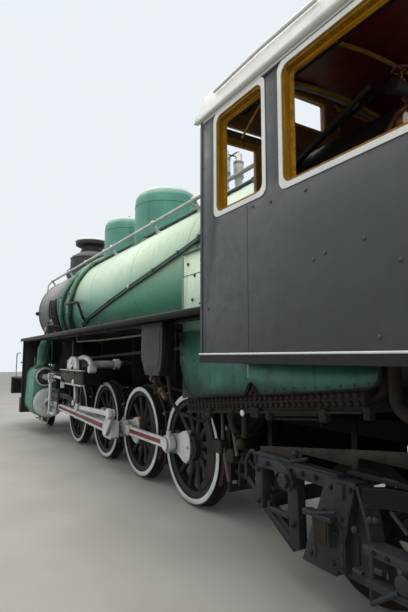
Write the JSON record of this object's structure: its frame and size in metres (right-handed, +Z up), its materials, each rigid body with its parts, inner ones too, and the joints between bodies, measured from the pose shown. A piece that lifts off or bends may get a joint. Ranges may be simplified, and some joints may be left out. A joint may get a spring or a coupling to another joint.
{
  "type": "steam locomotive",
  "caption": "Metre-gauge steam locomotive with leading and trailing trucks, coupled driving wheels with rods and outside valve gear, wide firebox and closed cab",
  "frame": {"origin": "middle of the whole length and width, at the lowest point of the wheel flanges", "axes": "+X forward, +Y to the left side, +Z up"},
  "size_m": [11.71, 2.716, 3.981],
  "materials": {
    "bare_metal": "silver paint",
    "boiler_green": "weathered satin green paint",
    "cab_grey": "weathered dark blue-grey paint",
    "frame_black": "dark painted castings, dusty",
    "roof_white": "white gloss paint",
    "running_black": "dusty black paint",
    "rusty_brown": "brown rust and dirt",
    "seat_wood": "dark varnished wood",
    "smokebox_black": "sun-greyed black paint",
    "wheel_dark": "black paint, white tyre ring",
    "white_paint": "white paint with red flutes"
  },
  "bodies": {
    "engine": {"ash_pan": "frame_black", "ash_pan_sides": "frame_black", "boiler_barrel": "boiler_green", "brake_gear": "rusty_brown", "buffer_beam": "running_black", "cab_floor": "running_black", "cab_front": "cab_grey", "cab_posts": "cab_grey", "cab_roof": "roof_white", "cab_seats": "seat_wood", "cab_side_left": "cab_grey", "cab_side_right": "cab_grey", "cab_steps": "running_black", "chimney": "smokebox_black", "cylinder_covers": "white_paint", "cylinder_left": "boiler_green", "cylinder_right": "boiler_green", "drag_box": "frame_black", "driver_springs": "frame_black", "driving_axleboxes": "frame_black", "firebox": "boiler_green", "firebox_skirt": "boiler_green", "foundation_ring": "rusty_brown", "front_coupler": "frame_black", "front_platform": "running_black", "front_steps": "running_black", "guide_bars": "running_black", "handrails": "white_paint", "headlamp": "boiler_green", "main_frame": "frame_black", "motion_brackets": "running_black", "reversing_shaft": "white_paint", "running_board_left": "running_black", "running_board_right": "running_black", "safety_valves": "bare_metal", "sand_dome": "boiler_green", "side_boxes": "running_black", "smokebox": "smokebox_black", "smokebox_front": "smokebox_black", "steam_dome": "boiler_green", "steam_pipes": "boiler_green", "valve_gear_left": "white_paint", "valve_gear_right": "white_paint", "waist_sheets": "frame_black"},
    "wheelset_1": {"wheelset_1": "wheel_dark"},
    "wheelset_2": {"wheelset_2": "wheel_dark"},
    "wheelset_3": {"wheelset_3": "wheel_dark"},
    "wheelset_4": {"wheelset_4": "wheel_dark"},
    "side_rod_left": {"side_rod_left": "white_paint"},
    "side_rod_right": {"side_rod_right": "white_paint"},
    "crosshead_left": {"crosshead_left": "white_paint"},
    "crosshead_right": {"crosshead_right": "white_paint"},
    "main_rod_left": {"main_rod_left": "white_paint"},
    "main_rod_right": {"main_rod_right": "white_paint"},
    "pony_truck": {"pony_truck_frame": "frame_black"},
    "pony_wheels": {"pony_wheelset": "wheel_dark"},
    "trailing_truck": {"trailing_truck_frame": "frame_black", "trailing_springs": "frame_black"},
    "trailing_wheels": {"trailing_wheelset": "wheel_dark"},
    "smokebox_door": {"smokebox_door": "smokebox_black"}
  },
  "joints": [
    {"name": "wheelset_3_spin", "type": "hinge", "parent": "engine", "child": "wheelset_3", "pos_m": [-0.47, 0, 0.578], "axis": [0, 1, 0], "continuous": true},
    {"name": "wheelset_1_spin", "type": "hinge", "parent": "engine", "child": "wheelset_1", "pos_m": [2.265, 0, 0.578], "axis": [0, 1, 0], "continuous": true},
    {"name": "wheelset_2_spin", "type": "hinge", "parent": "engine", "child": "wheelset_2", "pos_m": [0.825, 0, 0.578], "axis": [0, 1, 0], "continuous": true},
    {"name": "wheelset_4_spin", "type": "hinge", "parent": "engine", "child": "wheelset_4", "pos_m": [-1.765, 0, 0.578], "axis": [0, 1, 0], "continuous": true},
    {"name": "side_rod_left_pin", "type": "hinge", "parent": "wheelset_3", "child": "side_rod_left", "pos_m": [-0.165, 0.69, 0.578], "axis": [0, 1, 0], "continuous": true},
    {"name": "side_rod_right_pin", "type": "hinge", "parent": "wheelset_3", "child": "side_rod_right", "pos_m": [-0.47, -0.69, 0.273], "axis": [0, 1, 0], "continuous": true},
    {"name": "crosshead_left_slide", "type": "slide", "parent": "engine", "child": "crosshead_left", "axis": [1, 0, 0], "range_m": [-0.61, 0]},
    {"name": "crosshead_right_slide", "type": "slide", "parent": "engine", "child": "crosshead_right", "axis": [1, 0, 0], "range_m": [-0.2826, 0.3274]},
    {"name": "main_rod_left_swing", "type": "hinge", "parent": "crosshead_left", "child": "main_rod_left", "pos_m": [2.60455, 0.85, 0.628], "axis": [0, 1, 0], "range_deg": [-6.33, 6.32]},
    {"name": "main_rod_right_swing", "type": "hinge", "parent": "crosshead_right", "child": "main_rod_right", "pos_m": [2.27716, -0.85, 0.628], "axis": [0, 1, 0], "range_deg": [0, 12.65]},
    {"name": "pony_truck_swing", "type": "hinge", "parent": "engine", "child": "pony_truck", "pos_m": [3.485, 0, 0.508], "axis": [0, 0, 1], "range_deg": [-4.5, 4.5]},
    {"name": "pony_wheels_spin", "type": "hinge", "parent": "pony_truck", "child": "pony_wheels", "pos_m": [4.685, 0, 0.378], "axis": [0, 1, 0], "continuous": true},
    {"name": "trailing_truck_swing", "type": "hinge", "parent": "engine", "child": "trailing_truck", "pos_m": [-2.715, 0, 0.508], "axis": [0, 0, 1], "range_deg": [-5, 5]},
    {"name": "trailing_wheels_spin", "type": "hinge", "parent": "trailing_truck", "child": "trailing_wheels", "pos_m": [-4.015, 0, 0.458], "axis": [0, 1, 0], "continuous": true},
    {"name": "smokebox_door_hinge", "type": "hinge", "parent": "engine", "child": "smokebox_door", "pos_m": [4.971, -0.655, 2.501], "axis": [0, 0, -1], "range_deg": [0, 110]}
  ],
  "couplings": [
    {"joint": "wheelset_1_spin", "follows": "wheelset_3_spin", "ratio": 1},
    {"joint": "wheelset_2_spin", "follows": "wheelset_3_spin", "ratio": 1},
    {"joint": "wheelset_4_spin", "follows": "wheelset_3_spin", "ratio": 1},
    {"joint": "side_rod_left_pin", "follows": "wheelset_3_spin", "ratio": -1},
    {"joint": "side_rod_right_pin", "follows": "wheelset_3_spin", "ratio": -1}
  ]
}
